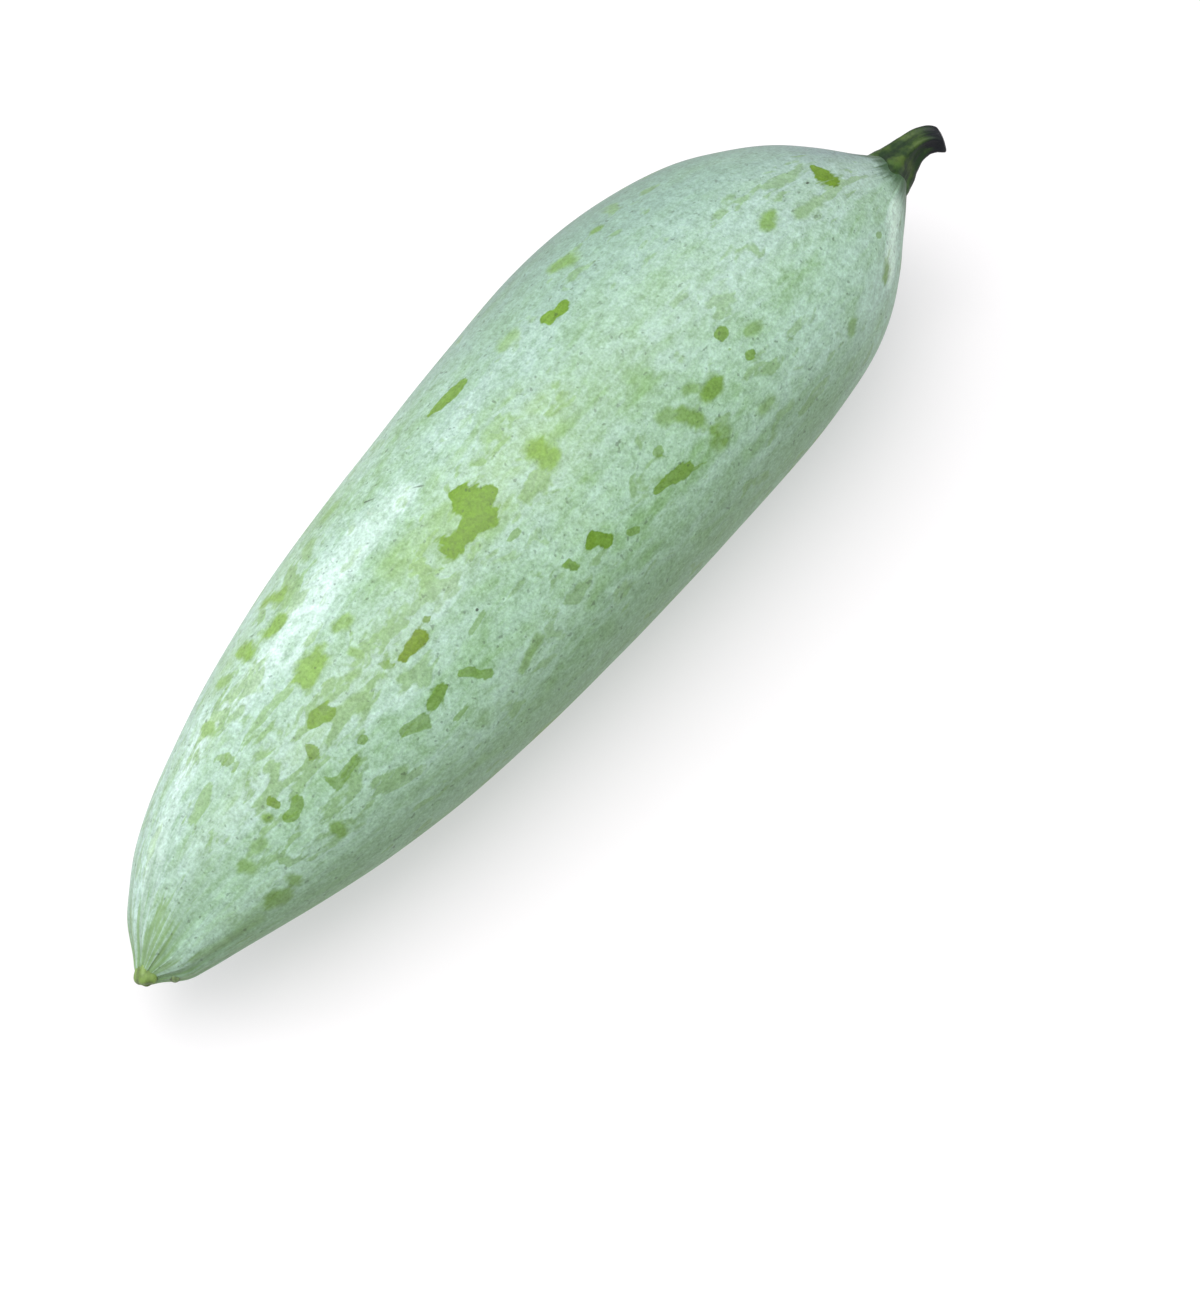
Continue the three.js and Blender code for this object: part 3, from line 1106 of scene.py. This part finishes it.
# %% Draw the stalk
# mm past the neck's end: along, sideways, up, and the radius there
STALK_PATH = [
    (-2.0, 0.2, -0.1, 5.6),
    (-0.6, 0.0, 0.0, 5.5),
    (0.8, 0.0, 0.0, 5.1),
    (2.4, 0.0, 0.05, 4.6),
    (4.4, 0.1, 0.25, 3.9),
    (7.0, 0.05, 0.65, 3.2),
    (9.6, -0.5, 1.0, 2.8),
    (11.6, -1.7, 1.2, 2.6),
    (12.7, -3.0, 1.2, 2.55),
    (13.0, -3.35, 1.2, 2.45),
    (13.2, -3.58, 1.2, 1.8),
    (13.3, -3.7, 1.2, 1.0),
    (13.35, -3.76, 1.2, 0.3),
]
stalk_green = bpy.data.materials.new("ribbed stalk")
points = [NECK + Vector(step[:3]) * MM for step in STALK_PATH]
guide = guide_line("stalk_line", points, [step[3] * MM for step in STALK_PATH])
stalk = grow(
    "stalk_stub",
    ribbed_stem,
    guide,
    stalk_green,
    {"Rib Height": 0.7 * MM, "Cut Lean": 0.4, "Roughness Height": 0.35 * MM, "Seed": 2.0},
)

# %% [markdown]
# ## The blossom end
#
# Where the flower sat, the fruit ends in a small blunt knob with a dry remnant of the flower beside it.
# Both are short stems with a round end, so the tree for the stalk draws them too.

# %% Draw the knob and the dry remnant
# mm from the fruit's tip: along, sideways, up, and the radius there
KNOB_PATH = [
    (3.4, 3.0, 1.5, 1.3),
    (2.5, 2.2, 1.1, 1.9),
    (1.6, 1.4, 0.7, 2.3),
    (0.9, 0.8, 0.4, 2.3),
    (0.5, 0.45, 0.2, 1.9),
    (0.3, 0.25, 0.1, 1.2),
    (0.25, 0.2, 0.1, 0.3),
]
REMNANT_PATH = [
    (8.0, -0.2, 0.6, 1.5),
    (6.2, -1.7, 0.5, 1.4),
    (5.1, -2.7, 0.4, 1.2),
    (4.5, -3.3, 0.4, 0.95),
    (4.2, -3.6, 0.4, 0.35),
]
knob_yellow = bpy.data.materials.new("blossom knob")
remnant_brown = bpy.data.materials.new("dry remnant")
blossom_pieces = []
for name, path, finish, rib_height in (
    ("blossom_knob", KNOB_PATH, knob_yellow, 0.25 * MM),
    ("blossom_remnant", REMNANT_PATH, remnant_brown, 0.12 * MM),
):
    points = [TIP + Vector(step[:3]) * MM for step in path]
    guide = guide_line(name + "_line", points, [step[3] * MM for step in path])
    values = {"Rows in a Span": 10, "Sides": 60, "Rib Height": rib_height, "Roughness Height": 0.2 * MM}
    blossom_pieces.append(grow(name, ribbed_stem, guide, finish, values))

# %% [markdown]
# ## Stalk and knob finishes
#
# The stalk is dark green with a painted light, olive, on its upward-facing top, and a painted shade,
# nearly black, along its sides. It also dries nearly black round the cut and along its fibres, and it is
# darker in the grooves between its ribs. The knob is yellow green, and its remnant is browner and dry.

# %% Finishes of the stalk and the knob
STALK_GREEN = (0.014, 0.034, 0.011, 1.0)
# olive, also the painted light on the stalk's top
STALK_OLIVE_AND_TOP_LIGHT = (0.075, 0.12, 0.025, 1.0)
# dry black, also the painted shade on the stalk's sides
STALK_DRY_AND_SIDE_SHADE = (0.008, 0.009, 0.012, 1.0)
STALK_FRESH = (0.05, 0.12, 0.025, 1.0)
KNOB_PALE = (0.18, 0.285, 0.065, 1.0)
KNOB_GREEN = (0.08, 0.13, 0.025, 1.0)
REMNANT_PALE = (0.16, 0.24, 0.09, 1.0)
REMNANT_BROWN = (0.05, 0.06, 0.03, 1.0)


def finish_stalk(material):
    board, shader = principled(material)
    place = board.add("ShaderNodeTexCoord").out("Object")
    part = attribute(board, "part").out("Fac")
    rib = attribute(board, "rib").out("Fac")
    around = attribute(board, "around").out("Vector")
    run = board.combine(part * 2.2, 0.0, 0.0)
    fibres = board.noise(board.vector("ADD", board.stretch(around, 5.0, 5.0, 5.0), run), 1.0, 3.0, 0.6)
    patches = board.noise(place, 260.0, 3.0, 0.6)
    grain = board.noise(place, 1400.0, 2.0, 0.6)
    normal = board.add("ShaderNodeNewGeometry").out("Normal")
    facing_up = board.add("ShaderNodeSeparateXYZ", {}, {"Vector": normal}).out("Z")
    # olive patches, and a painted light where the stalk faces up
    olive = board.rise(facing_up + (patches - 0.5) * 2.2, 0.6, 1.2) * board.rise(part, 0.9, 0.6)
    colour = mix(board, olive * 0.8, STALK_GREEN, STALK_OLIVE_AND_TOP_LIGHT)
    # dry fibres and the cut, and a painted shade on the sides
    dry = board.rise(fibres * 0.6 + (1 - facing_up) * 0.5 + board.rise(part, 0.55, 1.0) * 0.5, 0.5, 0.8)
    colour = mix(board, dry, colour, STALK_DRY_AND_SIDE_SHADE)
    base = board.rise(part + (fibres - 0.5) * 0.2, 0.3, 0.05)
    colour = mix(board, base * board.rise(patches, 0.35, 0.7), colour, STALK_FRESH)
    colour = mix(board, board.rise(rib, 0.3, 0.0) * 0.3, colour, STALK_DRY_AND_SIDE_SHADE)
    height = fibres * 0.7 + grain * 0.3
    sockets = {
        "Base Color": colour,
        "Roughness": 0.5 + (grain - 0.5) * 0.25,
        "Specular IOR Level": 0.25,
        "Normal": board.bump(0.5, 0.3 * MM, height),
    }
    plug(board, shader, sockets)


def finish_blossom(material, pale, dark):
    board, shader = principled(material)
    place = board.add("ShaderNodeTexCoord").out("Object")
    patches = board.noise(place, 600.0, 3.0, 0.6)
    grain = board.noise(place, 1800.0, 2.0, 0.6)
    rib = attribute(board, "rib").out("Fac")
    shade = board.rise(patches + 0.05 + (0.5 - rib) * 0.2, 0.35, 0.8)
    colour = mix(board, shade, pale, dark)
    height = patches * 0.6 + grain * 0.4
    bump = board.bump(0.5, 0.2 * MM, height)
    roughness = 0.55 + (grain - 0.5) * 0.2
    plug(board, shader, {"Base Color": colour, "Roughness": roughness, "Normal": bump})


finish_stalk(stalk_green)
finish_blossom(knob_yellow, KNOB_PALE, KNOB_GREEN)
finish_blossom(remnant_brown, REMNANT_PALE, REMNANT_BROWN)
for material in (stalk_green, knob_yellow, remnant_brown):
    print(material.name, "has", len(material.node_tree.nodes), "nodes")

# %% [markdown]
# ## Back onto the frame
#
# Each piece rides on the part's one body, and the CAD fruit and stalk are hidden.

# %% Ride and replace
for piece, slot in ((fruit, "rind"), (stalk, "stalk"), *((piece, "rind") for piece in blossom_pieces)):
    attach(piece, "root")
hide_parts("fruit")
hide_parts("stalk")
